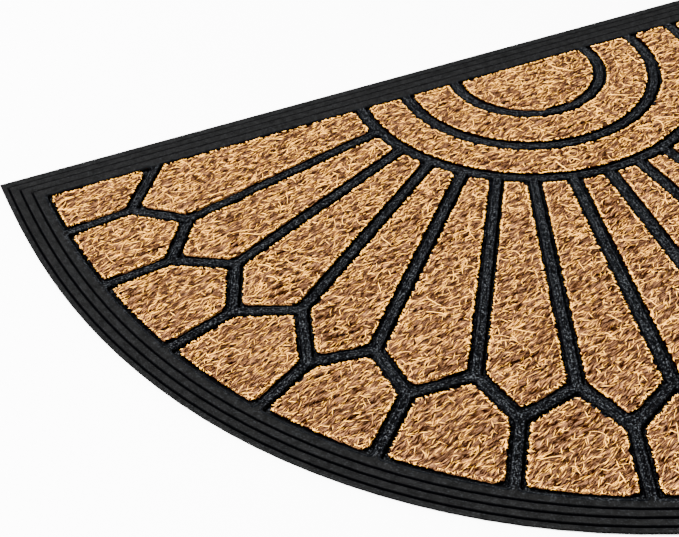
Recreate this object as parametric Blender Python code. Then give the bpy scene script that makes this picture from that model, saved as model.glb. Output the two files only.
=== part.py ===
"""Half-round doormat: a moulded rubber mat with a stepped frame, raised ribs and coir pads in its pockets.

The plan is set out in millimetres. A place is a pair: the distance right of the middle line, and the
depth in from the straight side. The origin of the model is under the middle of the mat's bounding box,
with the straight side towards +Y and the round side towards -Y.
"""
import math
from collections import namedtuple

import bmesh
import bpy
import numpy as np
from mathutils.geometry import delaunay_2d_cdt

MM = 0.001

# Outline of the mat
BOW_HALF_WIDTH = 336.6     # half-width of the round side, without the taper
SIDE_TAPER = 0.1           # how much wider each side grows per millimetre towards the straight side
DEPTH = 445.0              # straight side to the front of the round side
BOW_POWER_ACROSS = 1.875   # both powers would be 2 for a true half ellipse
BOW_POWER_DOWN = 2.61

# Frame: a line of the frame is so far in from the straight side and so far in from the round one. Each
# band has the line of its outer edge and the height of its top
Line = namedtuple("Line", "straight bow")
Band = namedtuple("Band", "outer top")
FRAME_BANDS = (
    Band(Line(0.0, 0.0), 2.5),
    Band(Line(7.3, 5.0), 3.1),
    Band(Line(14.0, 11.6), 3.7),
    Band(Line(21.4, 18.1), 4.2),
)
MOUTH = Line(29.2, 25.2)   # inner edge of the last band
NARROWING = 0.0007         # share of its width that the frame loses per millimetre of depth
EDGE_BEVEL = 0.5           # bevel along the mat's outer top edge
FOOT_INSET = 0.9           # the underside stops this far inside the outer edge
FOOT_HEIGHT = 1.3          # height over which the side comes out to the outer edge
GROOVE_WIDTH = 2.1         # line moulded between two bands
GROOVE_DEPTH = 0.8

# Ribs and pockets
RIB_HALF_WIDTH = 2.4
WALL_DRAFT = 0.4           # a pocket is this much smaller at its floor, all round
POCKET_FLOOR = 2.0         # height of the floor over the underside
POCKET_CORNER = 1.6        # radius of a pocket's corners

# Coir pads
PAD_GAP = 2.8              # pad to rib, at the pad's foot
PAD_FRAME_GAP = 2.4        # pad to frame
PAD_CLEARANCE = 0.3        # pad to pocket floor
PAD_CORNER = 3.6           # radius of a pad's corners
Level = namedtuple("Level", "inset height")
PAD_LEVELS = (
    Level(0.0, POCKET_FLOOR + PAD_CLEARANCE),
    Level(0.2, 4.0),
    Level(3.2, 4.9),
)

# Hub: three half-round ribs about one centre
HUB_DEPTH = 40.0
RING_RADII = (53.2, 91.4, 126.5)
RING_STEP = 7.0            # degrees between the points of a ring

# Fan, left half: where each spoke leaves the outer ring, in degrees round the hub from the straight
# side; its tip; the elbow of the zigzag before the tip; and the rim rib's end at the frame. Places are
# (distance left of the middle line, depth).
Spoke = namedtuple("Spoke", "root tip elbow rim")
SPOKES = (
    Spoke(9.5, (271.5, 95.0), (304.0, 70.0), (346.0, 74.0)),
    Spoke(21.6, (256.5, 150.0), (292.5, 129.5), (334.5, 134.0)),
    Spoke(32.6, (233.0, 205.0), (270.5, 189.0), (312.0, 202.0)),
    Spoke(43.4, (206.5, 252.5), (244.0, 246.0), (276.5, 264.0)),
    Spoke(53.5, (164.0, 293.0), (202.5, 290.0), (231.5, 318.5)),
    Spoke(63.5, (118.5, 322.0), (156.5, 330.0), (179.5, 367.5)),
    Spoke(74.5, (72.5, 340.5), (106.5, 358.0), (121.0, 397.0)),
    Spoke(85.0, (26.5, 346.0), (54.0, 372.5), (63.0, 413.0)),
)
MIDDLE_ELBOW = (0.0, 376.5)
MIDDLE_RIM = (0.0, 419.0)
ZIGZAG_START = 277.0       # how far from the middle line the zigzag leaves the straight side
LEAN = 4.4                 # the middle of the fan leans this far to the right
LEAN_REACH = 60.0

# How finely the curves are cut
OUTLINE_STEPS = 72
DENSE_STEPS = 1440
FRAME_ARC_STEPS = 4
CORNER_STEPS = 2

RUBBER = ("moulded_rubber", (0.022, 0.023, 0.025), 0.62)
COIR = ("coir_yarn", (0.50, 0.29, 0.12), 0.95)

Cell = namedtuple("Cell", "name sides")
Side = namedtuple("Side", "points kind")


def place(x, depth):
    """Plan coordinates, with the straight side at +DEPTH / 2."""
    return np.array((x, DEPTH / 2 - depth), dtype=float)


def outline_edge(line, steps):
    """Points of a line of the frame along the round side, from the left corner to the right one.

    The round side is x = W cos(t)^(2/a) + taper (D - depth), depth = D sin(t)^(2/b). Each point is
    moved along its inward normal by the line's distance from the round side, which shrinks towards
    the front, and the part nearer the straight side than the line is left out, so that neighbouring
    lines meet in a mitre at the corners.
    """
    t = np.linspace(0.0, math.pi / 2, DENSE_STEPS)
    depth = DEPTH * np.sin(t) ** (2 / BOW_POWER_DOWN)
    x = BOW_HALF_WIDTH * np.cos(t) ** (2 / BOW_POWER_ACROSS) + SIDE_TAPER * (DEPTH - depth)
    x[-1] = 0.0
    tangent = np.stack([np.gradient(x), np.gradient(depth)], axis=1)
    tangent /= np.linalg.norm(tangent, axis=1, keepdims=True)
    tangent[-1] = (-1.0, 0.0)
    inward = np.stack([-tangent[:, 1], tangent[:, 0]], axis=1)
    moved = np.stack([x, depth], axis=1) + (line.bow * (1.0 - NARROWING * depth))[:, None] * inward
    inside = moved[moved[:, 1] > line.straight]
    start_x = np.interp(line.straight, moved[:, 1], moved[:, 0])
    half = np.vstack([(start_x, line.straight), inside])
    left = half * (-1.0, 1.0)
    whole = np.vstack([left, half[-2::-1]])
    run = np.concatenate([[0.0], np.cumsum(np.linalg.norm(np.diff(whole, axis=0), axis=1))])
    even = np.linspace(0.0, run[-1], steps + 1)
    points = np.stack([np.interp(even, run, whole[:, 0]), np.interp(even, run, whole[:, 1])], axis=1)
    return np.stack([points[:, 0], DEPTH / 2 - points[:, 1]], axis=1)


def lean(point):
    """Shift a place of the fan to the right, most on the middle line."""
    shift = LEAN * math.exp(-((point[0] / LEAN_REACH) ** 2))
    return point + np.array((shift, 0.0))


def ring_points(radius, start_deg, end_deg):
    """Points of a hub ring; degrees run from the left end of the ring round the front."""
    steps = max(1, math.ceil(abs(end_deg - start_deg) / RING_STEP))
    turns = np.radians(np.linspace(start_deg, end_deg, steps + 1))
    return np.array([place(-radius * math.cos(a), HUB_DEPTH + radius * math.sin(a)) for a in turns])


def ring_end_deg(radius):
    """Where a ring runs into the straight side of the frame, short of the hub's own line."""
    return -math.degrees(math.asin((HUB_DEPTH - MOUTH.straight) / radius))


def fan_nodes():
    """Roots in degrees, and tips, elbows and rim ends as places, from left to right."""
    left = SPOKES
    roots = [s.root for s in left] + [180.0 - s.root for s in reversed(left)]
    tips = [place(-s.tip[0], s.tip[1]) for s in left] + [place(*s.tip) for s in reversed(left)]
    elbows = [place(-s.elbow[0], s.elbow[1]) for s in left] + [place(*MIDDLE_ELBOW)]
    elbows += [place(*s.elbow) for s in reversed(left)]
    rims = [place(-s.rim[0], s.rim[1]) for s in left] + [place(*MIDDLE_RIM)]
    rims += [place(*s.rim) for s in reversed(left)]
    return roots, [lean(p) for p in tips], [lean(p) for p in elbows], [lean(p) for p in rims]


def root_place(degrees):
    """Where a spoke leaves the outer ring."""
    return lean(ring_points(RING_RADII[-1], degrees, degrees)[0])


def meet_frame(edge, elbow, rim):
    """Position, as a fractional index along the frame's inner edge, where a rim rib meets it."""
    run = rim - elbow
    aside = run[0] * (edge[:, 1] - elbow[1]) - run[1] * (edge[:, 0] - elbow[0])
    crossings = np.nonzero(aside[:-1] * aside[1:] <= 0)[0]
    nearest = min(crossings, key=lambda i: np.linalg.norm(edge[i] - rim))
    return nearest + aside[nearest] / (aside[nearest] - aside[nearest + 1])


def along(edge, start, end):
    """Points of the frame's inner edge between two fractional indices."""
    index = np.linspace(start, end, FRAME_ARC_STEPS + 1)
    known = np.arange(len(edge))
    return np.stack([np.interp(index, known, edge[:, 0]), np.interp(index, known, edge[:, 1])], axis=1)


def hub_cells():
    """The half-round middle and the two curved bands round it."""
    ends = [ring_end_deg(r) for r in RING_RADII]
    rings = [ring_points(r, e, 180.0 - e) for r, e in zip(RING_RADII, ends)]
    frame = Side(np.array([rings[0][-1], rings[0][0]]), "frame")
    cells = [Cell("pad_hub", [Side(rings[0], "rib"), frame])]
    for number in (1, 2):
        inner, outer = rings[number - 1], rings[number]
        sides = [
            Side(outer, "rib"),
            Side(np.array([outer[-1], inner[-1]]), "frame"),
            Side(inner[::-1], "rib"),
            Side(np.array([inner[0], outer[0]]), "frame"),
        ]
        cells.append(Cell(f"pad_ring_{number}", sides))
    return cells


def end_sector(root, tip, elbow, zigzag, ring_end, degrees):
    """The fan cell between the straight side and the first or last spoke."""
    arc = ring_points(RING_RADII[-1], *degrees)[1:-1]
    return [
        Side(np.array([ring_end, zigzag]), "frame"),
        Side(np.array([zigzag, elbow]), "rib"),
        Side(np.array([elbow, tip]), "rib"),
        Side(np.array([tip, root]), "rib"),
        Side(np.vstack([[root], arc, [ring_end]]), "rib"),
    ]


def fan_cells(edge):
    """Seventeen long cells between the spokes and eighteen rim cells outside the zigzag."""
    roots, tips, elbows, rims = fan_nodes()
    places = [root_place(d) for d in roots]
    end_deg = ring_end_deg(RING_RADII[-1])
    ring_ends = ring_points(RING_RADII[-1], end_deg, 180.0 - end_deg)[[0, -1]]
    zigzags = [place(-ZIGZAG_START, MOUTH.straight), place(ZIGZAG_START, MOUTH.straight)]
    sectors = [end_sector(places[0], tips[0], elbows[0], zigzags[0], ring_ends[0], (roots[0], end_deg))]
    for k in range(len(roots) - 1):
        arc = ring_points(RING_RADII[-1], roots[k + 1], roots[k])[1:-1]
        sectors.append([
            Side(np.array([tips[k], elbows[k + 1]]), "rib"),
            Side(np.array([elbows[k + 1], tips[k + 1]]), "rib"),
            Side(np.array([tips[k + 1], places[k + 1]]), "rib"),
            Side(np.vstack([[places[k + 1]], arc, [places[k]]]), "rib"),
            Side(np.array([places[k], tips[k]]), "rib"),
        ])
    last = (roots[-1], 180.0 - end_deg)
    sectors.append(end_sector(places[-1], tips[-1], elbows[-1], zigzags[1], ring_ends[1], last))

    meets = [meet_frame(edge, elbow, rim) for elbow, rim in zip(elbows, rims)]
    rim_cells = []
    for end, corner in ((0, 0.0), (-1, len(edge) - 1.0)):
        arc = along(edge, meets[end], corner)
        rim_cells.append([
            Side(np.array([arc[-1], zigzags[end]]), "frame"),
            Side(np.array([zigzags[end], elbows[end]]), "rib"),
            Side(np.array([elbows[end], arc[0]]), "rib"),
            Side(arc, "frame"),
        ])
    for k, tip in enumerate(tips):
        arc = along(edge, meets[k + 1], meets[k])
        rim_cells.insert(-1, [
            Side(np.array([arc[-1], elbows[k]]), "rib"),
            Side(np.array([elbows[k], tip]), "rib"),
            Side(np.array([tip, elbows[k + 1]]), "rib"),
            Side(np.array([elbows[k + 1], arc[0]]), "rib"),
            Side(arc, "frame"),
        ])
    cells = [Cell(f"pad_fan_{i:02d}", sides) for i, sides in enumerate(sectors, start=1)]
    cells += [Cell(f"pad_rim_{i:02d}", sides) for i, sides in enumerate(rim_cells, start=1)]
    return cells


def shrink(cell, rib, frame, radius):
    """Outline of a cell moved inwards from its ribs and its frame sides, with its corners rounded.

    Each corner moves to where the two moved edges beside it cross.
    """
    points = np.vstack([side.points[:-1] for side in cell.sides])
    moves = np.concatenate([
        np.full(len(side.points) - 1, rib if side.kind == "rib" else frame) for side in cell.sides
    ])
    corner = np.concatenate([np.arange(len(side.points) - 1) == 0 for side in cell.sides])
    following = np.roll(points, -1, axis=0)
    if np.sum(points[:, 0] * following[:, 1] - points[:, 1] * following[:, 0]) < 0:
        points, corner = points[::-1], corner[::-1]
        moves = np.roll(moves[::-1], -1)
        following = np.roll(points, -1, axis=0)
    run = following - points
    run /= np.linalg.norm(run, axis=1, keepdims=True)
    inward = np.stack([-run[:, 1], run[:, 0]], axis=1)
    before, move_before = np.roll(inward, 1, axis=0), np.roll(moves, 1)
    cross = before[:, 0] * inward[:, 1] - before[:, 1] * inward[:, 0]
    turn = np.where(np.abs(cross) < 1e-3, 1.0, cross)
    shift = np.stack([
        (move_before * inward[:, 1] - moves * before[:, 1]) / turn,
        (moves * before[:, 0] - move_before * inward[:, 0]) / turn,
    ], axis=1)
    straight = np.abs(cross) < 1e-3
    shift[straight] = moves[straight, None] * inward[straight]
    return round_corners(points + shift, corner, radius)


def round_corners(points, corner, radius):
    """Replace each marked corner by a short curve that bends from one edge into the next."""
    result = []
    for i, point in enumerate(points):
        if not corner[i]:
            result.append(point)
            continue
        back, ahead = points[i - 1] - point, points[(i + 1) % len(points)] - point
        back_length, ahead_length = np.linalg.norm(back), np.linalg.norm(ahead)
        back, ahead = back / back_length, ahead / ahead_length
        half_angle = math.acos(max(-1.0, min(1.0, float(back @ ahead)))) / 2
        reach = min(radius / math.tan(half_angle), 0.42 * back_length, 0.42 * ahead_length)
        for t in np.linspace(0.0, 1.0, CORNER_STEPS + 1):
            result.append(point + reach * ((1 - t) ** 2 * back + t ** 2 * ahead))
    return np.array(result)


def add_loop(mesh, points, height):
    """Vertices of a level closed line."""
    return [mesh.verts.new((x * MM, y * MM, height * MM)) for x, y in points]


def join_loops(mesh, lower, upper):
    """Faces between two lines of the same number of points; they face outwards when both run
    anticlockwise and the upper one lies above or inside the lower one."""
    for i in range(len(lower)):
        k = (i + 1) % len(lower)
        mesh.faces.new((lower[i], lower[k], upper[k], upper[i]))


def beside(line, distance):
    """A line of the frame that runs so much further in than another one."""
    return Line(line.straight + distance, line.bow + distance)


def frame_profile():
    """The frame's lines and their heights, from the foot of the outer edge to the last band."""
    first = FRAME_BANDS[0]
    profile = [(beside(first.outer, FOOT_INSET), 0.0), (beside(first.outer, 0.2 * FOOT_INSET), FOOT_HEIGHT)]
    profile += [(first.outer, first.top - EDGE_BEVEL), (beside(first.outer, EDGE_BEVEL), first.top)]
    for outer, inner in zip(FRAME_BANDS, FRAME_BANDS[1:]):
        profile.append((beside(inner.outer, -0.8 * GROOVE_WIDTH), outer.top))
        profile.append((beside(inner.outer, -0.2 * GROOVE_WIDTH), outer.top - GROOVE_DEPTH))
        profile.append((beside(inner.outer, 0.2 * GROOVE_WIDTH), inner.top))
    return profile


def fill_top(mesh, outer, holes):
    """Triangles of the level top between the frame's last line and the pockets."""
    loops = [outer] + holes
    corners = [v for loop in loops for v in loop]
    starts = np.cumsum([0] + [len(loop) for loop in loops])
    rings = [list(range(starts[i], starts[i + 1])) for i in range(len(loops))]
    flat = [v.co.xy / MM for v in corners]
    _, _, faces, origin, _, inside = delaunay_2d_cdt(flat, [], rings, 1, 1e-6)
    for face, areas in zip(faces, inside):
        if areas == [0]:
            mesh.faces.new([corners[origin[i][0]] for i in face])


def finish_object(name, mesh, material):
    """Turn a bmesh into a named object with its material."""
    data = bpy.data.meshes.new(name)
    mesh.to_mesh(data)
    mesh.free()
    data.materials.append(material)
    data.shade_smooth()
    data.set_sharp_from_angle(angle=math.radians(25.0))
    item = bpy.data.objects.new(name, data)
    bpy.context.scene.collection.objects.link(item)
    return item


def make_rubber(cells, material):
    """The one moulded piece: underside, stepped frame, ribs and pockets."""
    mesh = bmesh.new()
    rings = []
    for line, height in frame_profile():
        points = outline_edge(line, OUTLINE_STEPS)
        rings.append(add_loop(mesh, points, height))
    for lower, upper in zip(rings, rings[1:]):
        join_loops(mesh, lower, upper)
    mesh.faces.new(rings[0][::-1])

    openings = []
    for cell in cells:
        mouth = shrink(cell, RIB_HALF_WIDTH, 0.0, POCKET_CORNER)
        floor = shrink(cell, RIB_HALF_WIDTH + WALL_DRAFT, WALL_DRAFT, POCKET_CORNER)
        mouth_loop = add_loop(mesh, mouth, FRAME_BANDS[-1].top)
        floor_loop = add_loop(mesh, floor, POCKET_FLOOR)
        join_loops(mesh, mouth_loop, floor_loop)
        mesh.faces.new(floor_loop)
        openings.append(mouth_loop)
    fill_top(mesh, rings[-1], openings)
    return finish_object("rubber_mat", mesh, material)


def make_pad(cell, material):
    """A coir pad: upright sides, a sloping shoulder and a level crown."""
    mesh = bmesh.new()
    loops = []
    for level in PAD_LEVELS:
        rib = RIB_HALF_WIDTH + PAD_GAP + level.inset
        radius = max(PAD_CORNER - level.inset, 0.5)
        points = shrink(cell, rib, PAD_FRAME_GAP + level.inset, radius)
        loops.append(add_loop(mesh, points, level.height))
    for lower, upper in zip(loops, loops[1:]):
        join_loops(mesh, lower, upper)
    mesh.faces.new(loops[0][::-1])
    mesh.faces.new(loops[-1])
    return finish_object(cell.name, mesh, material)


def make_material(name, color, roughness):
    """A plain Principled material."""
    material = bpy.data.materials.new(name)
    material.use_nodes = True
    shader = material.node_tree.nodes["Principled BSDF"]
    shader.inputs["Base Color"].default_value = (*color, 1.0)
    shader.inputs["Roughness"].default_value = roughness
    shader.inputs["Metallic"].default_value = 0.0
    return material


def main():
    """Clear the scene and build the mat."""
    for item in list(bpy.data.objects):
        bpy.data.objects.remove(item)
    rubber, coir = make_material(*RUBBER), make_material(*COIR)
    mat = bpy.data.objects.new("doormat", None)
    bpy.context.scene.collection.objects.link(mat)
    edge = outline_edge(MOUTH, DENSE_STEPS)
    cells = hub_cells() + fan_cells(edge)
    pieces = [make_rubber(cells, rubber)] + [make_pad(cell, coir) for cell in cells]
    for piece in pieces:
        piece.parent = mat


main()
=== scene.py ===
"""The looks of a half-round doormat: ribbed moulded rubber, and coir pads of twisted yarn.

Shapes are worked out in millimetres and turned into metres when a mesh is made. The mat lies flat, with
its straight side towards +Y, and the yarn runs in rows along X.
"""

import logging
import math
from dataclasses import dataclass
from enum import Enum, IntEnum

import bmesh
import bpy
import numpy as np
from mathutils import Euler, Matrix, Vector


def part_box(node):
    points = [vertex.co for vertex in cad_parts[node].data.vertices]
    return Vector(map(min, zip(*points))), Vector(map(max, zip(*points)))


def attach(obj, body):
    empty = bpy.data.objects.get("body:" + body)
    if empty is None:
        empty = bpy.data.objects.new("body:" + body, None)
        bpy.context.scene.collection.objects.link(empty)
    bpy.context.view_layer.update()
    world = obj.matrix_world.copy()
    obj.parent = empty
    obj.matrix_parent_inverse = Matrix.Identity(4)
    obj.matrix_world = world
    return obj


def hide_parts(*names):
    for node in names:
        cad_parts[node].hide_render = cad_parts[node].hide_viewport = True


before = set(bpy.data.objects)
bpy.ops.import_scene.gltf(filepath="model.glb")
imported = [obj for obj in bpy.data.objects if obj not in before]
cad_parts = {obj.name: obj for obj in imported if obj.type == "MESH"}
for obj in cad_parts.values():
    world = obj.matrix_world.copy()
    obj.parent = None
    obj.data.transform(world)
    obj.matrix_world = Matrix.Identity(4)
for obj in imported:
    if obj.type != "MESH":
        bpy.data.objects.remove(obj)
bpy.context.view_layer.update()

log = logging.getLogger("doormat")

MM = 0.001
BODY = "root"

# lean of a strand against its row
STRAND_LEAN = math.radians(20.0)

# the lattice's sine: its turn for each column, row and seed, and its size
LATTICE_TURNS = (127.1, 311.7, 74.7)
LATTICE_SIZE = 43758.5453

# corners closer than this are one corner
WELD = 0.001 * MM

# a face is level where the upright part of its normal is more than this
LEVEL = 0.95

# keeps a length from being nothing
TINY = 1e-9


def lattice(column: np.ndarray, row: np.ndarray, seed: float) -> np.ndarray:
    """Repeatable value from 0 to 1 for a place on a grid: the fraction left by a large sine.

    Args:
        column: whole-number place along X.
        row: whole-number place along Y.
        seed: shifts the pattern.

    Returns:
        One value for each place.
    """
    by_column, by_row, by_seed = LATTICE_TURNS
    wave = np.sin(column * by_column + row * by_row + seed * by_seed) * LATTICE_SIZE
    return wave - np.floor(wave)


def cloud(x: np.ndarray, y: np.ndarray, size: float, seed: float) -> np.ndarray:
    """Smooth noise from -1 to 1: the lattice's values, blended across each cell by a smooth step.

    Args:
        x: places along X, in millimetres.
        y: places along Y, in millimetres.
        size: width of a cell, in millimetres.
        seed: shifts the pattern.

    Returns:
        One value for each place.
    """
    column, row = np.floor(x / size), np.floor(y / size)
    across, up = x / size - column, y / size - row
    across, up = across * across * (3 - 2 * across), up * up * (3 - 2 * up)
    low = lattice(column, row, seed) * (1 - across) + lattice(column + 1, row, seed) * across
    high = lattice(column, row + 1, seed) * (1 - across) + lattice(column + 1, row + 1, seed) * across
    return 2 * (low * (1 - up) + high * up) - 1


def side_distance(points: np.ndarray, outline: np.ndarray) -> np.ndarray:
    """Distance from points to a closed outline, counted as negative outside it.

    Each point is dropped square onto each side, held between the side's ends, and the shortest drop
    counts. A point is inside where a line from it towards +X crosses an odd number of sides.

    Args:
        points: places, one row each.
        outline: the outline's corners, one row each.

    Returns:
        One distance for each point.
    """
    following = np.roll(outline, -1, axis=0)
    run = following - outline
    offset = points[:, None, :] - outline[None, :, :]
    share = np.clip((offset * run).sum(2) / (run * run).sum(1), 0, 1)
    drop = offset - share[:, :, None] * run
    distance = np.sqrt((drop * drop).sum(2).min(1))
    spans = (outline[:, 1] > points[:, None, 1]) != (following[:, 1] > points[:, None, 1])
    rise = np.where(run[:, 1] == 0, 1.0, run[:, 1])
    crossing = outline[:, 0] + (points[:, None, 1] - outline[:, 1]) * run[:, 0] / rise
    odd = (spans & (points[:, None, 0] < crossing)).sum(1) % 2 == 1
    return np.where(odd, distance, -distance)


def edge_loops(mesh: bpy.types.Mesh, side: int) -> list:
    """Closed lines along which a mesh's level faces end.

    Args:
        mesh: the mesh, which is only read.
        side: 1 for faces that look up, -1 for faces that look down.

    Returns:
        One array for each line, a row for each corner, in millimetres, anticlockwise from above.
    """
    solid = bmesh.new()
    solid.from_mesh(mesh)
    bmesh.ops.remove_doubles(solid, verts=solid.verts, dist=WELD)
    steps = {}
    for edge in solid.edges:
        level = [face.normal.z * side > LEVEL for face in edge.link_faces]
        if level.count(True) == 1:
            first, last = edge.verts
            steps.setdefault(first, []).append(last)
            steps.setdefault(last, []).append(first)
    lines = []
    while steps:
        here = next(iter(steps))
        line = []
        while here is not None:
            line.append(here.co[:])
            here = next((corner for corner in steps.pop(here) if corner in steps), None)
        line = np.array(line) / MM
        following = np.roll(line, -1, axis=0)
        turned = (line[:, 0] * following[:, 1] - following[:, 0] * line[:, 1]).sum() < 0
        lines.append(line[::-1] if turned else line)
    solid.free()
    return lines


def outward(outline: np.ndarray) -> np.ndarray:
    """Mitred outward direction at each corner of an anticlockwise outline.

    It is the sum of the two sides' normals over 1 plus their dot product, so that a step along it moves
    each side by the same amount.

    Args:
        outline: corners in plan, one row each.

    Returns:
        One direction for each corner.
    """
    run = np.roll(outline, -1, axis=0) - outline
    normal = np.stack([run[:, 1], -run[:, 0]], axis=1) / np.linalg.norm(run, axis=1, keepdims=True)
    before = np.roll(normal, 1, axis=0)
    return (normal + before) / (1 + (normal * before).sum(1, keepdims=True))


class Wiring:
    """Adds nodes to a shader tree and joins their sockets."""

    def __init__(self, tree: bpy.types.NodeTree) -> None:
        """Keep the tree.

        Args:
            tree: a material's tree or a node group.
        """
        self.tree = tree

    def add(self, kind: str, inputs: dict | None = None, **settings: object) -> bpy.types.Node:
        """Make one node.

        Args:
            kind: the node's type name.
            inputs: values or sockets for its inputs, by name or number.
            settings: the node's own properties.

        Returns:
            The new node.
        """
        node = self.tree.nodes.new(kind)
        for name, value in settings.items():
            setattr(node, name, value)
        for name, value in (inputs or {}).items():
            if isinstance(value, bpy.types.NodeSocket):
                self.tree.links.new(value, node.inputs[name])
            else:
                node.inputs[name].default_value = value
        return node

    def math(self, operation: str, *values: object) -> bpy.types.NodeSocket:
        """Join a Math node.

        Args:
            operation: the Math node's operation.
            values: numbers or sockets.

        Returns:
            Its output.
        """
        return self.add("ShaderNodeMath", dict(enumerate(values)), operation=operation).outputs[0]

    def blend(self, terms: tuple) -> bpy.types.NodeSocket:
        """Sum of sockets, each times its own weight.

        Args:
            terms: pairs of a socket and its weight.

        Returns:
            The sum.
        """
        total = 0.0
        for value, weight in terms:
            total = self.math("MULTIPLY_ADD", value, weight, total)
        return total

    def vector(self, operation: str, first: object, second: object) -> bpy.types.NodeSocket:
        """Join a Vector Math node.

        Args:
            operation: the node's operation.
            first: vector or socket.
            second: vector or socket.

        Returns:
            Its vector output.
        """
        return self.add("ShaderNodeVectorMath", {0: first, 1: second}, operation=operation).outputs[0]

    def mix(self, factor: object, first: object, second: object) -> bpy.types.NodeSocket:
        """Join a colour Mix node.

        Args:
            factor: share of the second colour.
            first: colour or socket at factor 0.
            second: colour or socket at factor 1.

        Returns:
            The mixed colour.
        """
        return self.add("ShaderNodeMix", {0: factor, 6: first, 7: second}, data_type="RGBA").outputs[2]

    def span(
        self, value: object, low: float, high: float, to_low: float, to_high: float
    ) -> bpy.types.NodeSocket:
        """Join a clamped Map Range node.

        Args:
            value: the socket to map.
            low: value that becomes to_low.
            high: value that becomes to_high.
            to_low: result at low.
            to_high: result at high.

        Returns:
            The mapped value.
        """
        inputs = {0: value, 1: low, 2: high, 3: to_low, 4: to_high}
        return self.add("ShaderNodeMapRange", inputs).outputs[0]

    def noise(self, place: object, scale: float, detail: float) -> bpy.types.Node:
        """Add a Noise Texture.

        Args:
            place: coordinates.
            scale: waves for each unit.
            detail: octaves.

        Returns:
            The node.
        """
        return self.add("ShaderNodeTexNoise", {"Vector": place, "Scale": scale, "Detail": detail})

    def group(self, effect: object, **values: float) -> bpy.types.Node:
        """Add a node group.

        Args:
            effect: the effect whose group is used.
            values: its inputs.

        Returns:
            The group's node.
        """
        tree = bpy.data.node_groups.get(effect.name) or effect.build()
        return self.add("ShaderNodeGroup", values, node_tree=tree)


def new_group(name: str, inputs: dict, outputs: dict) -> tuple:
    """Start a shader node group.

    Args:
        name: the group's name.
        inputs: name and default of each value that it takes.
        outputs: name and socket type of each result.

    Returns:
        The tree, its wiring, its input node and its output node.
    """
    tree = bpy.data.node_groups.new(name, "ShaderNodeTree")
    for title, value in inputs.items():
        socket = tree.interface.new_socket(title, in_out="INPUT", socket_type="NodeSocketFloat")
        socket.default_value = value
    for title, kind in outputs.items():
        tree.interface.new_socket(title, in_out="OUTPUT", socket_type=kind)
    wiring = Wiring(tree)
    return tree, wiring, wiring.add("NodeGroupInput"), wiring.add("NodeGroupOutput")


def new_material(name: str) -> tuple:
    """Start a material.

    Args:
        name: the material's name.

    Returns:
        The material, its wiring and its Principled shader.
    """
    material = bpy.data.materials.new(name)
    material.use_nodes = True
    return material, Wiring(material.node_tree), material.node_tree.nodes["Principled BSDF"]


@dataclass(frozen=True)
class GrainEffect:
    """Fine grain of a moulded surface: a fine noise over a coarser one."""

    name: str = "moulded_grain"
    fine: float = 1500.0
    coarse: float = 240.0
    fine_share: float = 0.6

    def build(self) -> bpy.types.NodeTree:
        """Make the group, with a height and a mottling mask.

        Returns:
            The group.
        """
        outputs = {"Height": "NodeSocketFloat", "Mottle": "NodeSocketFloat"}
        tree, wire, _, result = new_group(self.name, {}, outputs)
        place = wire.add("ShaderNodeTexCoord").outputs["Object"]
        fine = wire.noise(place, self.fine, 3.0).outputs[0]
        coarse = wire.noise(place, self.coarse, 4.0).outputs[0]
        height = wire.blend(((fine, self.fine_share), (coarse, 1.0 - self.fine_share)))
        tree.links.new(height, result.inputs["Height"])
        tree.links.new(coarse, result.inputs["Mottle"])
        return tree


@dataclass(frozen=True)
class EdgeEffect:
    """Moulded edges: the normal rounded over each edge, and a mask of the edges themselves."""

    name: str = "moulded_edges"
    radius: float = 0.6 * MM
    slight_turn: float = 0.99
    full_turn: float = 0.85

    def build(self) -> bpy.types.NodeTree:
        """Make the group.

        The mask grows as the dot product of the rounded normal and the true one falls.

        Returns:
            The group.
        """
        outputs = {"Rounded": "NodeSocketVector", "Edge": "NodeSocketFloat"}
        tree, wire, _, result = new_group(self.name, {}, outputs)
        bevel = wire.add("ShaderNodeBevel", {"Radius": self.radius}, samples=6)
        true = wire.add("ShaderNodeNewGeometry").outputs["True Normal"]
        turn = wire.add("ShaderNodeVectorMath", {0: bevel.outputs[0], 1: true}, operation="DOT_PRODUCT")
        tree.links.new(bevel.outputs[0], result.inputs["Rounded"])
        edge = wire.span(turn.outputs["Value"], self.slight_turn, self.full_turn, 0.0, 1.0)
        tree.links.new(edge, result.inputs["Edge"])
        return tree


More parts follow.
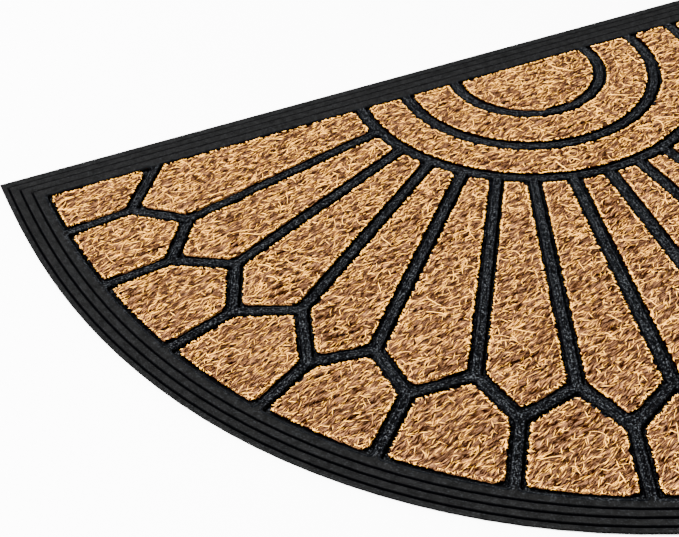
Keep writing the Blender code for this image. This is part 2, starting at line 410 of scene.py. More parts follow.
@dataclass(frozen=True)
class StrokeEffect:
    """Fibres drawn as strokes: lines along which a stretched noise passes through its middle value."""

    name: str = "fibre_strokes"
    warp_size: float = 9.0
    warp: float = 2.6

    def build(self) -> bpy.types.NodeTree:
        """Make the group, with a mask of thin strokes and the softer streaks that they follow.

        Returns:
            The group.
        """
        inputs = {"Angle": 0.0, "Length": 8.0, "Width": 1.0, "Sharpness": 6.0, "Seed": 0.0}
        outputs = {"Stroke": "NodeSocketFloat", "Streak": "NodeSocketFloat"}
        tree, wire, given, result = new_group(self.name, inputs, outputs)
        place = wire.vector("MULTIPLY", wire.add("ShaderNodeTexCoord").outputs["Object"], (1 / MM,) * 3)
        offset = wire.add("ShaderNodeCombineXYZ", {2: given.outputs["Seed"]}).outputs[0]
        place = wire.vector("ADD", place, offset)
        wave = wire.noise(place, 1 / self.warp_size, 1.0).outputs["Color"]
        swing = wire.vector("SUBTRACT", wave, (0.5,) * 3)
        shift = wire.vector("MULTIPLY", swing, (2 * self.warp, 2 * self.warp, 0.0))
        place = wire.vector("ADD", place, shift)
        turned = wire.add("ShaderNodeVectorRotate", {
            "Vector": place,
            "Angle": wire.math("MULTIPLY", given.outputs["Angle"], -1.0),
        }, rotation_type="Z_AXIS").outputs[0]
        length, width = given.outputs["Length"], given.outputs["Width"]
        cell = wire.add("ShaderNodeCombineXYZ", {0: length, 1: width, 2: width}).outputs[0]
        streak = wire.noise(wire.vector("DIVIDE", turned, cell), 1.0, 1.0).outputs[0]
        away = wire.math("ABSOLUTE", wire.math("SUBTRACT", streak, 0.5))
        line = wire.math("SUBTRACT", 1.0, wire.math("MULTIPLY", away, given.outputs["Sharpness"]))
        tree.links.new(wire.math("MAXIMUM", line, 0.0), result.inputs["Stroke"])
        tree.links.new(wire.span(streak, 0.4, 0.6, 0.0, 1.0), result.inputs["Streak"])
        return tree


@dataclass(frozen=True)
class StrokeLayer:
    """One layer of drawn fibres: its angle in radians, its sizes in millimetres and its seed."""

    angle: float
    length: float
    width: float
    sharpness: float
    seed: float

    def draw(self, wire: Wiring) -> bpy.types.Node:
        """Add the layer's node group to a material.

        Args:
            wire: the material's wiring.

        Returns:
            The group's node.
        """
        return wire.group(
            StrokeEffect(), Angle=self.angle, Length=self.length, Width=self.width,
            Sharpness=self.sharpness, Seed=self.seed,
        )


@dataclass(frozen=True)
class RubberFinish:
    """Black moulded rubber: matte, grained and specked, with wear and painted highlights along its
    edges, and painted shade in its grooves and hollows and inside the frame.
    """

    name: str
    dark: tuple
    light: tuple
    # paler colour along the edges: wear, and painted highlights where the edges catch the light
    worn_and_lit: tuple
    # colour inside the frame; on the frame rubber it is near black, painted shade on the ribs' sides,
    # along their middles and in the pockets
    rib: tuple
    # painted shade, near black, in the grooves and hollows
    groove_shade: tuple = (0.0001, 0.0001, 0.0002, 1.0)
    speck: tuple = (0.019, 0.0205, 0.0225, 1.0)
    rib_share: float = 0.8
    rib_wear_and_highlight: float = 0.4
    frame_specks: float = 0.2
    patch_scale: float = 90.0
    speck_scale: float = 1300.0
    smoothest: float = 0.52
    roughest: float = 0.72
    grain_strength: float = 0.5
    grain_height: float = 0.15 * MM
    groove_reach: float = 2.4 * MM
    rib_half_width: float = 355.0 * MM
    rib_depth: float = 427.0 * MM
    straight_side: float = 222.5 * MM
    frame_width: float = 29.2 * MM
    frame_blend: float = 1.0 * MM

    def rib_zone(self, wire: Wiring, place: bpy.types.NodeSocket) -> bpy.types.NodeSocket:
        """Mask of the ground inside the frame: a half ellipse that hangs from the straight side.

        Args:
            wire: the material's wiring.
            place: object coordinates.

        Returns:
            1 inside the frame and 0 on it.
        """
        axis = wire.add("ShaderNodeSeparateXYZ", {0: place})
        across = wire.math("DIVIDE", axis.outputs["X"], self.rib_half_width)
        below = wire.math("SUBTRACT", axis.outputs["Y"], self.straight_side)
        down = wire.math("DIVIDE", below, self.rib_depth)
        squares = [wire.math("MULTIPLY", share, share) for share in (across, down)]
        round_part = wire.span(wire.math("ADD", *squares), 0.985, 1.01, 1.0, 0.0)
        inner = self.straight_side - self.frame_width
        straight_part = wire.span(axis.outputs["Y"], inner - self.frame_blend, inner, 1.0, 0.0)
        return wire.math("MULTIPLY", round_part, straight_part)

    def build(self) -> bpy.types.Material:
        """Make the material.

        Returns:
            The material.
        """
        material, wire, shader = new_material(self.name)
        grain = wire.group(GrainEffect())
        edges = wire.group(EdgeEffect())
        place = wire.add("ShaderNodeTexCoord").outputs["Object"]
        mottle = wire.span(grain.outputs["Mottle"], 0.35, 0.68, 0.0, 1.0)
        color = wire.mix(mottle, self.dark, self.light)
        ribs = self.rib_zone(wire, place)
        # inside the frame the colour turns to rib: on the frame rubber this is painted shade, near
        # black, on the ribs and in the pockets
        color = wire.mix(wire.math("MULTIPLY", ribs, self.rib_share), color, self.rib)
        patches = wire.span(wire.noise(place, self.patch_scale, 3.0).outputs[0], 0.4, 0.65, 0.2, 0.9)
        # paler edges: wear, and painted highlights along the moulded edges, fewer inside the frame
        most_wear_and_highlight = wire.span(ribs, 0.0, 1.0, 1.0, self.rib_wear_and_highlight)
        wear_and_highlight = wire.math("MULTIPLY", edges.outputs["Edge"], most_wear_and_highlight)
        color = wire.mix(wire.math("MULTIPLY", wear_and_highlight, patches), color, self.worn_and_lit)
        specks = wire.span(wire.noise(place, self.speck_scale, 1.0).outputs[0], 0.58, 0.67, 0.0, 1.0)
        specks = wire.math("MULTIPLY", specks, wire.span(ribs, 0.0, 1.0, self.frame_specks, 1.0))
        color = wire.mix(specks, color, self.speck)
        # painted shade: ambient occlusion darkens the colour in the grooves and in the hollows beside
        # the ribs
        occlusion = wire.add("ShaderNodeAmbientOcclusion", {"Distance": self.groove_reach}, samples=8)
        groove_shade_mask = wire.span(occlusion.outputs["AO"], 0.66, 0.94, 1.0, 0.0)
        wire.tree.links.new(wire.mix(groove_shade_mask, color, self.groove_shade), shader.inputs["Base Color"])
        rough = wire.span(grain.outputs["Height"], 0.3, 0.7, self.smoothest, self.roughest)
        wire.tree.links.new(rough, shader.inputs["Roughness"])
        shader.inputs["Specular IOR Level"].default_value = 0.0
        bump = wire.add("ShaderNodeBump", {
            "Strength": self.grain_strength,
            "Distance": self.grain_height,
            "Height": grain.outputs["Height"],
            "Normal": edges.outputs["Rounded"],
        })
        wire.tree.links.new(bump.outputs[0], shader.inputs["Normal"])
        return material


@dataclass(frozen=True)
class CoirFinish:
    """Coir yarn: golden brown, drawn in strokes along its strands, with painted shade where it is
    sheltered.

    The tones are places along a ramp and their colours, from the darkest coir to bleached fibre.
    """

    name: str = "twisted_coir"
    strands: StrokeLayer = StrokeLayer(STRAND_LEAN, length=6.0, width=0.5, sharpness=5.0, seed=0.0)
    steep: StrokeLayer = StrokeLayer(STRAND_LEAN + 0.42, length=4.5, width=0.7, sharpness=7.0, seed=13.0)
    flat: StrokeLayer = StrokeLayer(STRAND_LEAN - 0.38, length=4.5, width=0.7, sharpness=7.0, seed=29.0)
    curls: StrokeLayer = StrokeLayer(0.0, length=4.5, width=3.0, sharpness=14.0, seed=47.0)
    crossing_share: float = 0.8
    curl_share: float = 0.45
    patch_scale: float = 26.0
    relief: float = 0.6 * MM
    relief_strength: float = 0.9
    roughness: float = 0.88
    tones: tuple = (
        (0.00, (0.0010, 0.0001, 0.0001, 1.0)),
        (0.17, (0.0060, 0.0009, 0.0001, 1.0)),
        (0.35, (0.0180, 0.0062, 0.0009, 1.0)),
        (0.50, (0.0320, 0.0145, 0.0062, 1.0)),
        (0.65, (0.0740, 0.0350, 0.0195, 1.0)),
        (0.80, (0.2700, 0.1100, 0.0280, 1.0)),
        (1.00, (1.0000, 0.4700, 0.0500, 1.0)),
    )

    def ramp(self, wire: Wiring, tone: bpy.types.NodeSocket) -> bpy.types.NodeSocket:
        """Colour of a tone.

        Args:
            wire: the material's wiring.
            tone: a value from 0 to 1.

        Returns:
            The colour.
        """
        node = wire.add("ShaderNodeValToRGB", {0: tone})
        stops = node.color_ramp.elements
        while len(stops) < len(self.tones):
            stops.new(0.5)
        for stop, (position, color) in zip(stops, self.tones):
            stop.position = position
            stop.color = color
        return node.outputs[0]

    def build(self) -> bpy.types.Material:
        """Make the material, which reads the piece's own tone, shade and loose attributes.

        Returns:
            The material.
        """
        material, wire, shader = new_material(self.name)
        tone, shade, loose = (
            wire.add("ShaderNodeAttribute", attribute_name=name).outputs["Fac"]
            for name in ("tone", "shade", "loose")
        )
        place = wire.add("ShaderNodeTexCoord").outputs["Object"]
        strands = self.strands.draw(wire)
        steep, flat, curls = (
            layer.draw(wire).outputs["Stroke"] for layer in (self.steep, self.flat, self.curls)
        )
        streak = strands.outputs["Streak"]
        crossing = wire.math("MULTIPLY", wire.math("MAXIMUM", steep, flat), self.crossing_share)
        stroke = wire.math("MAXIMUM", strands.outputs["Stroke"], crossing)
        stroke = wire.math("MAXIMUM", stroke, wire.math("MULTIPLY", curls, self.curl_share))
        patch = wire.span(wire.noise(place, self.patch_scale, 3.0).outputs[0], 0.3, 0.7, -1.0, 1.0)
        # the shade attribute darkens the body: painted shade in the yarn's gaps and holes and at the
        # pads' feet
        body = wire.blend(((tone, 0.1), (streak, 0.6), (stroke, 0.2), (patch, 0.01), (shade, -0.3)))
        fibre = wire.blend(((tone, 1.0), (streak, 0.2), (patch, 0.01)))
        part = wire.add("ShaderNodeMix", {0: loose, 2: body, 3: fibre}, data_type="FLOAT").outputs[0]
        wire.tree.links.new(self.ramp(wire, part), shader.inputs["Base Color"])
        shader.inputs["Roughness"].default_value = self.roughness
        shader.inputs["Specular IOR Level"].default_value = 0.0
        bump = wire.add("ShaderNodeBump", {
            "Strength": wire.span(loose, 0.0, 1.0, self.relief_strength, 0.0),
            "Distance": self.relief,
            "Height": wire.blend(((stroke, 0.6), (streak, 0.4))),
        })
        wire.tree.links.new(bump.outputs[0], shader.inputs["Normal"])
        return material


@dataclass(frozen=True)
class FloorFinish:
    """A plain pale floor."""

    name: str = "pale_floor"
    color: tuple = (0.92, 0.92, 0.92, 1.0)
    roughness: float = 0.9

    def build(self) -> bpy.types.Material:
        """Make the material.

        Returns:
            The material.
        """
        material, _, shader = new_material(self.name)
        shader.inputs["Base Color"].default_value = self.color
        shader.inputs["Roughness"].default_value = self.roughness
        return material


class Pattern(IntEnum):
    """Seeds of the coir's patterns, so that no two fall together."""

    WANDER = 3
    WAVER = 4
    STRETCH = 5
    PHASE = 6
    SLIP = 7
    LUMP = 8
    THICKNESS = 9
    TONE = 10
    FRAY_ALONG = 21
    FRAY_ACROSS = 22
    HOLE = 31


@dataclass(frozen=True)
class YarnField:
    """The relief of coir yarn: rows along X, each twisted so that its strands rise to the right.

    A row wanders slowly and wavers quickly, and its strands stretch and slip along it.
    """

    pitch: float = 5.9
    strand_length: float = 8.0
    lean: float = STRAND_LEAN
    wander: float = 1.2
    wander_size: float = 41.0
    waver_share: float = 0.45
    waver_size: float = 13.0
    stretch: float = 0.2
    stretch_size: float = 60.0
    slip: float = 0.3
    slip_size: float = 8.0
    phases: float = 7.0
    row_round: float = 0.92
    row_relief: float = 0.65
    strand_power: float = 0.55
    strand_relief: float = 0.3
    thinnest: float = 0.75
    thickness_spread: float = 0.5
    lump_size: float = 2.4
    lump_relief: float = 0.15
    hole_size: float = 9.0
    hole_stretch: float = 0.6
    hole_start: float = 0.62
    hole_depth: float = 1.2
    # painted shade in the holes
    hole_shade: float = 2.5
    tone_spread: float = 0.5
    lump_tone: float = 0.1

    def read(self, x: np.ndarray, y: np.ndarray) -> tuple:
        """Relief, shade and tone of the yarn.

        Across a row the relief is the square root of 1 - r v^2, with v from -1 to 1 and r just under
        1. A strand's relief is a power of a half sine along the row, whose phase shifts across the row
        by its twist. A hole opens between two rows where a slow noise is at its highest.

        Args:
            x: places along the rows, in millimetres.
            y: places across the rows, in millimetres.

        Returns:
            Relief in millimetres, painted shade from 0 on a crest to 1 in a gap and more in a hole, and
            tone.
        """
        wander = self.wander * cloud(x, y, self.wander_size, Pattern.WANDER)
        waver = self.waver_share * self.wander * cloud(x, y, self.waver_size, Pattern.WAVER)
        place = (y + (wander + waver)) / self.pitch
        row = np.floor(place)
        across = 2 * (place - row) - 1
        crest = np.sqrt(1 - self.row_round * across * across)
        slant = across * self.pitch / 2 / math.tan(self.lean)
        stretch = 1 + self.stretch * cloud(x, y, self.stretch_size, Pattern.STRETCH)
        phase = lattice(row, row * 0, Pattern.PHASE) * self.phases
        along = (x * stretch - slant) / self.strand_length + phase
        along = along + self.slip * cloud(x, y, self.slip_size, Pattern.SLIP)
        strand = np.floor(along)
        lobe = np.sin(np.pi * (along - strand)) ** self.strand_power
        lump = cloud(x, y, self.lump_size, Pattern.LUMP)
        thickness = self.thinnest + self.thickness_spread * lattice(row, strand, Pattern.THICKNESS)
        ground = cloud(x * self.hole_stretch, y, self.hole_size, Pattern.HOLE)
        hole = np.clip(4 * (ground - self.hole_start), 0, 1) * np.clip(3 * (0.8 - crest), 0, 1)
        relief = self.row_relief * crest + self.strand_relief * lobe * crest * thickness
        relief = relief + self.lump_relief * lump - self.hole_depth * hole
        # painted shade: darker in the gaps between rows and strands, darkest in the holes
        shade = np.clip(1.1 - crest * (0.45 + 0.65 * lobe), 0, 1) + self.hole_shade * hole
        tone = 0.5 + self.tone_spread * (lattice(row, strand, Pattern.TONE) - 0.5)
        return relief, shade, tone + self.lump_tone * lump


class Place(Enum):
    """Where a kind of loose fibre lies."""

    OVER = "over the pad"
    EDGE = "across the pad's edge"


@dataclass(frozen=True)
class Threads:
    """A kind of loose fibre: where it lies, and how dense, long, bent, thick, high and pale it is.

    Its density is for a square millimetre of the pad or a millimetre of its edge, and its spread is in
    degrees. It rides on the yarn by a share of its radius, and its tips flick up by one of its lift.
    """

    place: Place
    density: float
    points: int
    shortest: float
    longest: float
    spread: float
    bend: float
    radius: float
    lift: float
    tone: float
    tone_spread: float
    overhang: float
    seed: int
    slimmest: float = 0.7
    stoutest: float = 1.3
    ride: float = 0.6
    flick: float = 0.5

    @property
    def vertices(self) -> int:
        """Vertices of one thread: its two tips, and three round each point between them."""
        return 2 + 3 * (self.points - 2)


def thread_faces(kind: Threads, count: int) -> np.ndarray:
    """Triangles of many threads, each two tips with three-sided rings between them.

    Args:
        kind: the threads' sizes.
        count: number of threads.

    Returns:
        Vertex numbers, three for each triangle.
    """
    rings = kind.points - 2
    side = np.arange(3)
    following = (side + 1) % 3
    start = np.stack([np.zeros(3, int), 1 + following, 1 + side], axis=1)
    last = 1 + 3 * (rings - 1)
    end = np.stack([np.full(3, 1 + 3 * rings), last + side, last + following], axis=1)
    parts = [start]
    for ring in range(rings - 1):
        low = 1 + 3 * ring
        high = low + 3
        parts.append(np.stack([low + side, low + following, high + side], axis=1))
        parts.append(np.stack([low + following, high + following, high + side], axis=1))
    parts.append(end)
    shift = np.arange(count)[:, None, None] * kind.vertices
    return (np.vstack(parts)[None] + shift).reshape(-1, 3)


def thread_vertices(paths: np.ndarray, radius: np.ndarray) -> np.ndarray:
    """Vertices of many threads: a tip, then a ring of three round each middle point, then a tip.

    Args:
        paths: centre lines, shaped threads by points by 3.
        radius: one radius for each thread.

    Returns:
        Vertices in the order that thread_faces uses.
    """
    run = np.gradient(paths, axis=1)
    run /= np.linalg.norm(run, axis=2, keepdims=True) + TINY
    side = np.cross(run, np.array([0.0, 0.0, 1.0]))
    side /= np.linalg.norm(side, axis=2, keepdims=True) + TINY
    top = np.cross(side, run)
    turns = np.radians([90.0, 210.0, 330.0])
    ring = side[:, 1:-1, None] * np.cos(turns)[:, None] + top[:, 1:-1, None] * np.sin(turns)[:, None]
    rings = paths[:, 1:-1, None] + ring * radius[:, None, None, None]
    rings = rings.reshape(len(paths), -1, 3)
    return np.concatenate([paths[:, :1], rings, paths[:, -1:]], axis=1).reshape(-1, 3)


def new_piece(
    name: str, vertices: np.ndarray, faces: list, attributes: dict, material: bpy.types.Material
) -> bpy.types.Object:
    """Make a smooth-shaded piece that rides on the mat.

    Args:
        name: the piece's name.
        vertices: places in millimetres, one row each.
        faces: vertex numbers of each face.
        attributes: one value for each vertex, by attribute name.
        material: the piece's material.

    Returns:
        The piece's object.
    """
    mesh = bpy.data.meshes.new(name)
    mesh.from_pydata(vertices * MM, [], faces)
    for title, values in attributes.items():
        attribute = mesh.attributes.new(title, "FLOAT", "POINT")
        attribute.data.foreach_set("value", values.astype(np.float32))
    mesh.materials.append(material)
    mesh.shade_smooth()
    piece = bpy.data.objects.new(name, mesh)
    bpy.context.scene.collection.objects.link(piece)
    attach(piece, BODY)
    return piece


class Lay(Enum):
    """How a pad's grid is laid out."""

    ROWS = "in rows along X"
    ROUND = "in arcs round the hub"


@dataclass(frozen=True)
class Hub:
    """The centre of the half-round ribs, in millimetres."""

    x: float
    y: float

    def unroll(self, points: np.ndarray) -> np.ndarray:
        """Turn places in plan into angles from straight down and radii counted inwards.

        Args:
            points: places in plan, one row each.

        Returns:
            The angle in radians and minus the radius.
        """
        away = points - np.array([self.x, self.y])
        angle = np.arctan2(away[:, 0], -away[:, 1])
        return np.stack([angle, -np.hypot(away[:, 0], away[:, 1])], axis=1)

    def roll(self, grid: np.ndarray) -> np.ndarray:
        """Turn angles and radii back into places in plan.

        Args:
            grid: angles and minus radii, in the last axis.

        Returns:
            The places, in the same shape.
        """
        angle, radius = grid[..., 0], -grid[..., 1]
        return np.stack([self.x + radius * np.sin(angle), self.y - radius * np.cos(angle)], axis=-1)


@dataclass(frozen=True)
class PadSizes:
    """Sizes in millimetres, and the painted shade and light at the pads' edges, that all the pads share.
    """

    row_step: float = 1.05
    along_step: float = 1.35
    line_margin: float = 0.12
    end_crowding: float = 0.4
    shoulder: float = 1.2
    edge_lift: float = 1.1
    # paler cut ends of the fibres, and painted light on the pad's edge
    edge_light: float = 0.6
    # painted shadow on the wall round the pad's foot
    foot_shade: float = 6.0
    crown: float = 0.8
    crown_reach: float = 8.0
    crown_power: float = 0.7
    fray: float = 0.45
    fray_size: float = 2.0
    scatter_inset: float = 0.3
    fringe_inset: float = 1.2
    perch_inset: float = 0.8


@dataclass
class CoirPad:
    """One coir pad, laid out over the foot of the CAD node that it stands for."""

    node: str
    number: int
    lay: Lay
    hub: Hub
    yarn: YarnField
    sizes: PadSizes
    kinds: tuple

    def __post_init__(self) -> None:
        """Read the outline and height of the node's foot."""
        foot = max(edge_loops(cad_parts[self.node].data, -1), key=len)
        self.foot = float(foot[:, 2].min())
        self.outline = foot[:, :2]

    def plan(self) -> np.ndarray:
        """Grid of places over the pad, shaped lines by steps by 2.

        Each line runs level between the outline's two sides, and a sine crowds its steps towards its
        ends. Round the hub the outline is unrolled first, so that the lines become arcs.

        Returns:
            The grid, anticlockwise: its steps run along and its lines run inwards or up.
        """
        sizes = self.sizes
        edge = self.hub.unroll(self.outline) if self.lay is Lay.ROUND else self.outline
        scale = -edge[:, 1].mean() if self.lay is Lay.ROUND else 1.0
        low, high = edge[:, 1].min() + sizes.line_margin, edge[:, 1].max() - sizes.line_margin
        lines = np.linspace(low, high, math.ceil((high - low) / sizes.row_step) + 1)
        following = np.roll(edge, -1, axis=0)
        spans = (edge[:, 1] > lines[:, None]) != (following[:, 1] > lines[:, None])
        rise = np.where(following[:, 1] == edge[:, 1], 1.0, following[:, 1] - edge[:, 1])
        cross = edge[:, 0] + (lines[:, None] - edge[:, 1]) / rise * (following[:, 0] - edge[:, 0])
        left = np.where(spans, cross, np.inf).min(1)
        right = np.where(spans, cross, -np.inf).max(1)
        steps = math.ceil((right - left).max() * scale / sizes.along_step)
        even = np.linspace(0, 1, steps + 1)
        share = even - sizes.end_crowding * np.sin(2 * np.pi * even) / (2 * np.pi)
        x = left[:, None] + (right - left)[:, None] * share
        grid = np.stack([x, np.broadcast_to(lines[:, None], x.shape)], axis=2)
        return self.hub.roll(grid) if self.lay is Lay.ROUND else grid

    def surface(self, points: np.ndarray, inset: np.ndarray) -> tuple:
        """Height, shade and tone of the pad's top.

        The shoulder rises as a quarter circle over its own width. The crown rises over a longer reach
        by a power of the distance, and the yarn's relief lies on both.

        Args:
            points: places in plan, one row each.
            inset: distance of each from the pad's edge.

        Returns:
            Height in millimetres, shade and tone.
        """
        sizes = self.sizes
        near = np.clip(inset / sizes.shoulder, 0, 1)
        shoulder = np.sqrt(1 - (1 - near) ** 2)
        crown = sizes.crown * np.clip(inset / sizes.crown_reach, 0, 1) ** sizes.crown_power
        relief, shade, tone = self.yarn.read(points[:, 0], points[:, 1])
        height = self.foot + shoulder * (sizes.edge_lift + crown + relief)
        # edge_light brightens the shoulder: paler cut ends of the fibres, and painted light on the edge
        return height, shade * shoulder - sizes.edge_light * (1 - shoulder), tone

    def body(self) -> tuple:
        """The pad's closed body: the grid lifted into its top, and one flat face below.

        Returns:
            Vertices, faces, shade and tone.
        """
        sizes = self.sizes
        grid = self.plan()
        lines, steps = grid.shape[:2]
        points = grid.reshape(-1, 2)
        height, shade, tone = self.surface(points, side_distance(points, self.outline))
        number = np.arange(lines * steps).reshape(lines, steps)
        rim = np.concatenate([number[0, :-1], number[:-1, -1], number[-1, :0:-1], number[:0:-1, 0]])
        height[rim] = self.foot
        # painted shadow: the wall round the pad's foot is painted black
        shade[rim] = sizes.foot_shade
        patterns = (Pattern.FRAY_ALONG, Pattern.FRAY_ACROSS)
        fray = [cloud(points[:, 0], points[:, 1], sizes.fray_size, pattern) for pattern in patterns]
        places = np.column_stack([points + sizes.fray * np.stack(fray, axis=1), height])
        quads = np.stack([number[:-1, :-1], number[:-1, 1:], number[1:, 1:], number[1:, :-1]], axis=2)
        return places, quads.reshape(-1, 4).tolist() + [rim[::-1].tolist()], shade, tone

    def starts(self, kind: Threads, random: np.random.Generator) -> tuple:
        """Middles of a kind's fibres and the way that each lies.

        Over the pad they are scattered evenly and follow the strands. Across the edge they are spread
        along the outline and point outwards.

        Args:
            kind: the fibres' sizes.
            random: the pad's own random numbers.

        Returns:
            Places in plan and angles in radians.
        """
        spread = math.radians(kind.spread)
        if kind.place is Place.OVER:
            low, high = self.outline.min(0), self.outline.max(0)
            count = int(kind.density * np.prod(high - low))
            middle = low + (high - low) * random.random((count, 2))
            middle = middle[side_distance(middle, self.outline) > self.sizes.scatter_inset]
            return middle, self.yarn.lean + random.normal(0, spread, len(middle))
        run = np.roll(self.outline, -1, axis=0) - self.outline
        length = np.linalg.norm(run, axis=1)
        count = int(kind.density * length.sum())
        side = random.choice(len(run), count, p=length / length.sum())
        away = np.stack([run[side, 1], -run[side, 0]], axis=1) / length[side, None]
        share = random.random((count, 1))
        inset = random.uniform(0, self.sizes.fringe_inset, (count, 1))
        middle = self.outline[side] + run[side] * share - away * inset
        return middle, np.arctan2(away[:, 1], away[:, 0]) + random.normal(0, spread, count)

    def strew(self, kind: Threads) -> tuple:
        """Loose fibres of one kind.

        Each is an arc about its own middle. With v from -1 at one tip to 1 at the other, it stands over
        the pad's top by an arch of 1 - v^2 and a flick of the cube of v's size.

        Args:
            kind: the fibres' sizes.

        Returns:
            Vertices, triangles and tone.
        """
        random = np.random.default_rng(kind.seed + self.number)
        middle, angle = self.starts(kind, random)
        count = len(middle)
        run = np.linspace(-0.5, 0.5, kind.points)
        along = run * random.uniform(kind.shortest, kind.longest, count)[:, None]
        turn = angle[:, None] + random.normal(0, kind.bend, count)[:, None] * along / 2
        path = middle[:, None] + np.stack([along * np.cos(turn), along * np.sin(turn)], axis=2)
        inset = side_distance(path.reshape(-1, 2), self.outline).reshape(count, -1)
        keep = inset.min(1) > -kind.overhang
        path, inset = path[keep], np.maximum(inset[keep], self.sizes.perch_inset)
        count = len(path)
        height, _, _ = self.surface(path.reshape(-1, 2), inset.ravel())
        arch = kind.lift * random.random((count, 1)) * (1 - (2 * run) ** 2)
        flick = kind.lift * kind.flick * random.random((count, 1)) * np.abs(2 * run) ** 3
        raised = height.reshape(count, -1) + arch + flick + kind.radius * kind.ride
        path = np.concatenate([path, raised[:, :, None]], axis=2)
        radius = kind.radius * random.uniform(kind.slimmest, kind.stoutest, count)
        tone = kind.tone + kind.tone_spread * random.normal(0, 1, count)
        tone = np.repeat(tone, kind.vertices)
        return thread_vertices(path, radius), thread_faces(kind, count), tone

    def build(self, material: bpy.types.Material) -> bpy.types.Object:
        """Make the pad and put it in the place of its CAD node.

        Args:
            material: the coir material.

        Returns:
            The pad's object.
        """
        places, faces, shade, tone = self.body()
        groups, tones, start = [places], [tone], len(places)
        for kind in self.kinds:
            vertices, triangles, thread_tone = self.strew(kind)
            faces += (triangles + start).tolist()
            start += len(vertices)
            groups.append(vertices)
            tones.append(thread_tone)
        loose = np.arange(start) >= len(places)
        attributes = {
            "shade": np.concatenate([shade, np.zeros(start - len(places))]),
            "tone": np.concatenate(tones),
            "loose": loose.astype(float),
        }
        name = self.node.replace("pad", "coir")
        pad = new_piece(name, np.vstack(groups), faces, attributes, material)
        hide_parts(self.node)
        log.info("%s: %d faces", pad.name, len(faces))
        return pad


@dataclass
class CoirPads:
    """All the pads of the mat."""

    yarn: YarnField
    sizes: PadSizes
    kinds: tuple

    def hub(self) -> Hub:
        """The hub's centre: the half-round pad is as wide as its circle, and reaches its lowest point.

        Returns:
            The hub.
        """
        low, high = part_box("pad_hub")
        radius = (high.x - low.x) / 2
        return Hub((high.x + low.x) / 2 / MM, (low.y + radius) / MM)

    def build(self, finish: CoirFinish) -> list:
        """Build every pad with one material.

        Args:
            finish: the coir's finish.

        Returns:
            The pads' objects.
        """
        material = finish.build()
        hub = self.hub()
        names = sorted(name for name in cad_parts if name.startswith("pad_"))
        pads = []
        for number, name in enumerate(names):
            lay = Lay.ROUND if name.startswith("pad_ring") else Lay.ROWS
            pad = CoirPad(name, number, lay, hub, self.yarn, self.sizes, self.kinds)
            pads.append(pad.build(material))
        triangles = sum(len(pad.data.loops) - 2 * len(pad.data.polygons) for pad in pads)
        log.info("%d triangles in all the pads", triangles)
        return pads


@dataclass
class RibLines:
    """Raised lines moulded along both sides of each rib's top, a step outside each pocket's mouth."""

    node: str = "rubber_mat"
    step: float = 0.8
    half_width: float = 0.42
    height: float = 0.25
    root: float = 0.2
    widest: float = 300.0
    rib_drop: float = 0.1

    def profile(self) -> np.ndarray:
        """Half-round section of a line, with its root below the rib's top.

        Returns:
            An offset and a height for each corner.
        """
        turns = np.radians([180, 135, 90, 45, 0])
        bow = np.stack([self.half_width * np.cos(turns), self.height * np.sin(turns)], axis=1)
        return np.vstack([[-self.half_width, -self.root], bow, [self.half_width, -self.root]])

    def mouths(self) -> list:
        """Mouths of the pockets: the level lines at the ribs' height, without the frame's own.

        Returns:
            One array of corners for each mouth.
        """
        lines = edge_loops(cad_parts[self.node].data, 1)
        top = max(line[:, 2].max() for line in lines)
        upper = [line for line in lines if line[:, 2].min() > top - self.rib_drop]
        return [line for line in upper if np.ptp(line[:, 0]) < self.widest]

    def sweep(self, mouth: np.ndarray) -> tuple:
        """Carry the section round a mouth, outwards by its offset and up by its height.

        Args:
            mouth: the mouth's corners.

        Returns:
            Vertices, and faces of four.
        """
        section = self.profile()
        sides = len(section)
        away = outward(mouth[:, :2])
        plan = mouth[:, None, :2] + away[:, None] * (self.step + section[:, 0])[None, :, None]
        height = mouth[:, None, 2:] + section[:, 1][None, :, None]
        height = np.broadcast_to(height, plan.shape[:2] + (1,))
        here = np.arange(len(mouth))[:, None] * sides + np.arange(sides)
        ahead = np.roll(here, -1, axis=0)
        beside = np.roll(here, -1, axis=1)
        quads = np.stack([here, ahead, np.roll(ahead, -1, axis=1), beside], axis=2)
        return np.concatenate([plan, height], axis=2).reshape(-1, 3), quads.reshape(-1, 4)

    def build(self, material: bpy.types.Material) -> bpy.types.Object:
        """Sweep the section round every mouth.

        Args:
            material: the lines' material.

        Returns:
            The lines' object.
        """
        mouths = self.mouths()
        groups, faces, start = [], [], 0
        for mouth in mouths:
            vertices, quads = self.sweep(mouth)
            groups.append(vertices)
            faces += (quads + start).tolist()
            start += len(vertices)
        lines = new_piece("rib_lines", np.vstack(groups), faces, {}, material)
        log.info("rib_lines: %d lines, %d faces", len(mouths), len(faces))
        return lines


@dataclass
class RubberMat:
    """The moulded rubber, shown by its own CAD node."""

    node: str = "rubber_mat"

    def build(self, material: bpy.types.Material) -> bpy.types.Object:
        """Dress the CAD node.

        Args:
            material: the rubber material.

        Returns:
            The node's object.
        """
        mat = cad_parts[self.node]
        if not mat.material_slots:
            mat.data.materials.append(material)
        for slot in mat.material_slots:
            slot.material = material
        log.info("%s: dressed in %s", self.node, material.name)
        return mat


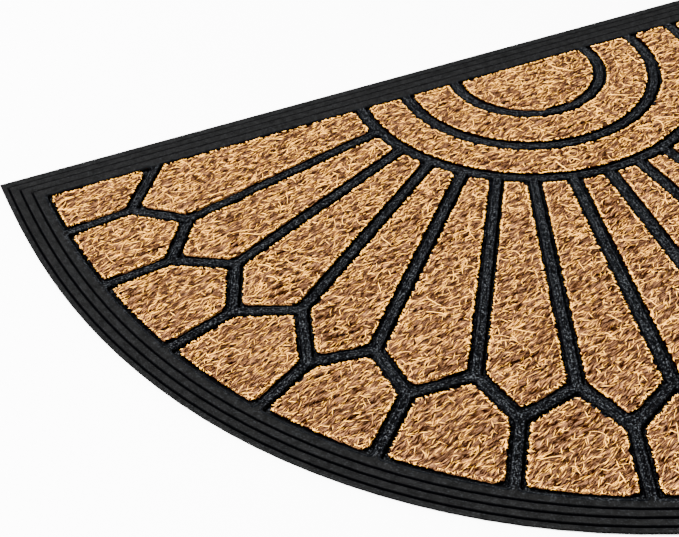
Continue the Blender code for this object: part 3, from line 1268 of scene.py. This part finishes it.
@dataclass(frozen=True)
class Studio:
    """The pale floor, the soft light and the camera at the photograph's angle."""

    floor_size: float = 12.0
    sky_strength: float = 2.55
    key_place: tuple = (-2.9, 0.9, 3.75)
    key_size: float = 1.25
    key_power: float = 3000.0
    camera_place: tuple = (-0.3491, -0.4358, 0.4573)
    camera_turn: tuple = (47.664, 3.988, -20.918)
    lens: float = 59.2
    sensor: float = 36.0

    def build_floor(self) -> bpy.types.Object:
        """Lay the floor under the mat.

        Returns:
            The floor's object.
        """
        half = self.floor_size / 2
        corners = [(-half, -half, 0.0), (half, -half, 0.0), (half, half, 0.0), (-half, half, 0.0)]
        mesh = bpy.data.meshes.new("floor")
        mesh.from_pydata(corners, [], [(0, 1, 2, 3)])
        mesh.materials.append(FloorFinish().build())
        floor = bpy.data.objects.new("floor", mesh)
        bpy.context.scene.collection.objects.link(floor)
        return floor

    def build_light(self) -> None:
        """Set a white sky and one large soft light to the mat's left."""
        world = bpy.data.worlds.new("soft_sky")
        world.use_nodes = True
        sky = world.node_tree.nodes["Background"]
        sky.inputs["Color"].default_value = (1.0, 1.0, 1.0, 1.0)
        sky.inputs["Strength"].default_value = self.sky_strength
        bpy.context.scene.world = world
        lamp = bpy.data.lights.new("key", "AREA")
        lamp.size = self.key_size
        lamp.energy = self.key_power
        key = bpy.data.objects.new("key", lamp)
        key.location = self.key_place
        key.rotation_euler = Vector(self.key_place).to_track_quat("Z", "Y").to_euler()
        bpy.context.scene.collection.objects.link(key)

    def build_camera(self) -> bpy.types.Object:
        """Place the camera.

        Returns:
            The camera's object.
        """
        data = bpy.data.cameras.new("camera")
        data.lens = self.lens
        data.sensor_width = self.sensor
        data.clip_start = 0.01
        camera = bpy.data.objects.new("camera", data)
        camera.location = self.camera_place
        camera.rotation_euler = Euler([math.radians(turn) for turn in self.camera_turn])
        bpy.context.scene.collection.objects.link(camera)
        bpy.context.scene.camera = camera
        return camera

    def build(self) -> None:
        """Set the stage."""
        self.build_floor()
        self.build_light()
        self.build_camera()
        log.info("stage: floor, sky, key light and camera")


FRAME_RUBBER = RubberFinish(
    name="matte_rubber",
    dark=(0.0015, 0.0015, 0.0015, 1.0),
    light=(0.0028, 0.0028, 0.0028, 1.0),
    worn_and_lit=(0.0044, 0.0044, 0.0045, 1.0),
    # painted shade: the ribs and pockets inside the frame are painted near black
    rib=(0.0001, 0.0001, 0.0002, 1.0),
)
LINE_RUBBER = RubberFinish(
    name="rib_line_rubber",
    dark=(0.0004, 0.0005, 0.0007, 1.0),
    light=(0.0024, 0.0027, 0.0032, 1.0),
    worn_and_lit=(0.0036, 0.0040, 0.0047, 1.0),
    rib=(0.0007, 0.0008, 0.0011, 1.0),
)
LYING = Threads(
    Place.OVER, density=0.37, points=3, shortest=3.4, longest=8.0, spread=14.0, bend=0.03, radius=0.17,
    lift=0.25, tone=0.4, tone_spread=0.36, overhang=0.5, seed=1000,
)
CROSSING = Threads(
    Place.OVER, density=0.055, points=4, shortest=2.5, longest=7.0, spread=35.0, bend=0.08, radius=0.16,
    lift=0.6, tone=1.0, tone_spread=0.08, overhang=0.5, seed=2000,
)
STRAYING = Threads(
    Place.OVER, density=0.003, points=9, shortest=7.0, longest=16.0, spread=70.0, bend=0.06, radius=0.18,
    lift=1.0, tone=0.9, tone_spread=0.1, overhang=1.2, seed=3000,
)
FRINGE = Threads(
    Place.EDGE, density=1.0, points=3, shortest=1.5, longest=3.4, spread=55.0, bend=0.1, radius=0.24,
    lift=0.4, tone=1.0, tone_spread=0.15, overhang=0.9, seed=4000,
)


def main() -> None:
    """Build the mat's looks and the stage."""
    logging.basicConfig(level=logging.INFO, format="%(name)s: %(message)s")
    RubberMat().build(FRAME_RUBBER.build())
    RibLines().build(LINE_RUBBER.build())
    CoirPads(YarnField(), PadSizes(), (LYING, CROSSING, STRAYING, FRINGE)).build(CoirFinish())
    Studio().build()


if __name__ == "__main__":
    main()
